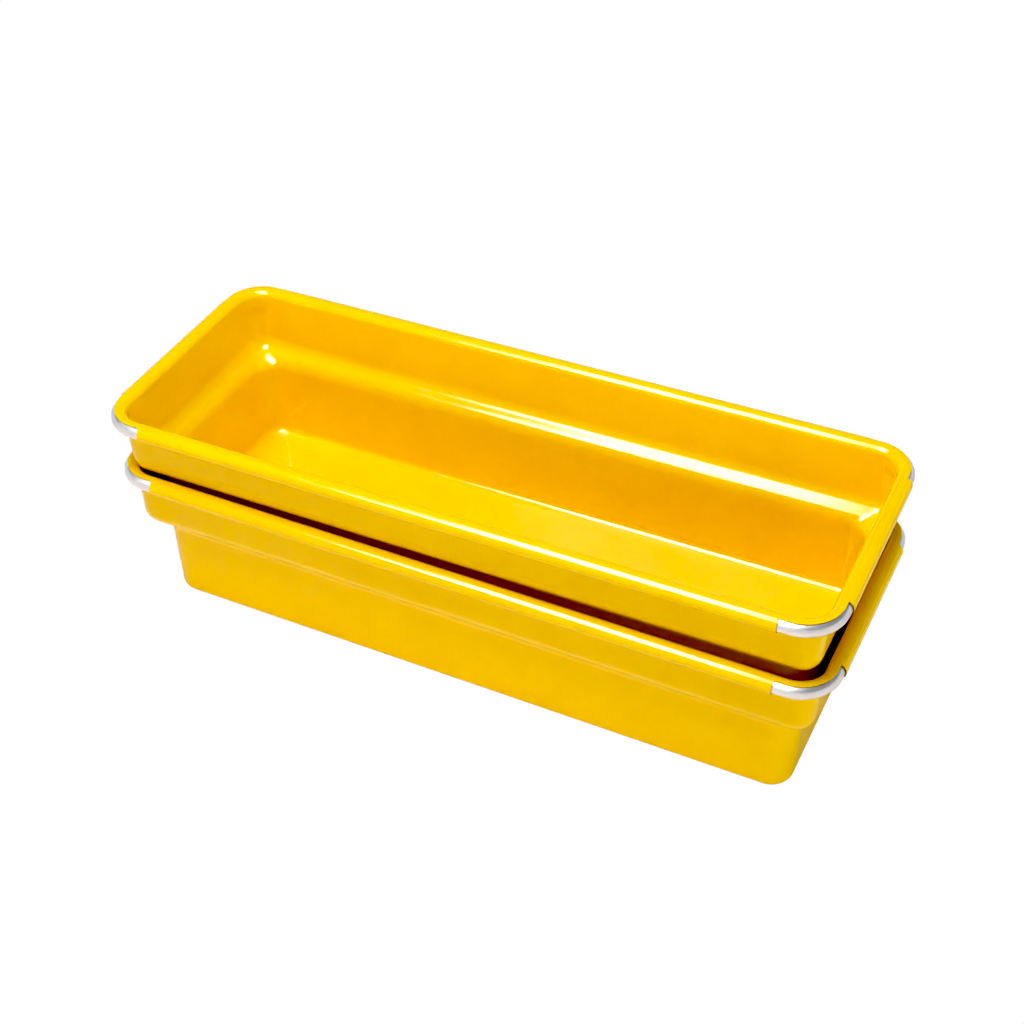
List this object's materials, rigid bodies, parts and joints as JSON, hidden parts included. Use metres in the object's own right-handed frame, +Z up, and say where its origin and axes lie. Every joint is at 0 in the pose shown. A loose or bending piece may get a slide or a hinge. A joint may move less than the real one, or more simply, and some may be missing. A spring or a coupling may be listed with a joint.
{
  "type": "developing tray",
  "caption": "Deep rectangular trays with stepped walls, nested one in the other; each rim is folded over an aluminium tube ring left bare at the corners.",
  "frame": {"origin": "on the ground, at the middle of the underside of the lower tray", "axes": "+X along the trays, +Y across them away from the viewer, +Z up, out of their mouths"},
  "size_m": [0.5028, 0.1883, 0.1675],
  "materials": {
    "tray_yellow": "gloss",
    "rim_aluminium": "satin",
    "pin_aluminium": "plain"
  },
  "bodies": {
    "lower_tray": {"lower_shell": "tray_yellow", "lower_rim_tube": "rim_aluminium", "lower_tube_pin": "pin_aluminium"},
    "upper_tray": {"upper_shell": "tray_yellow", "upper_rim_tube": "rim_aluminium", "upper_tube_pin": "pin_aluminium"}
  },
  "joints": [
    {"name": "upper_tray_lift", "type": "slide", "parent": "lower_tray", "child": "upper_tray", "axis": [0, 0, 1], "range_m": [0, 0.09]}
  ]
}
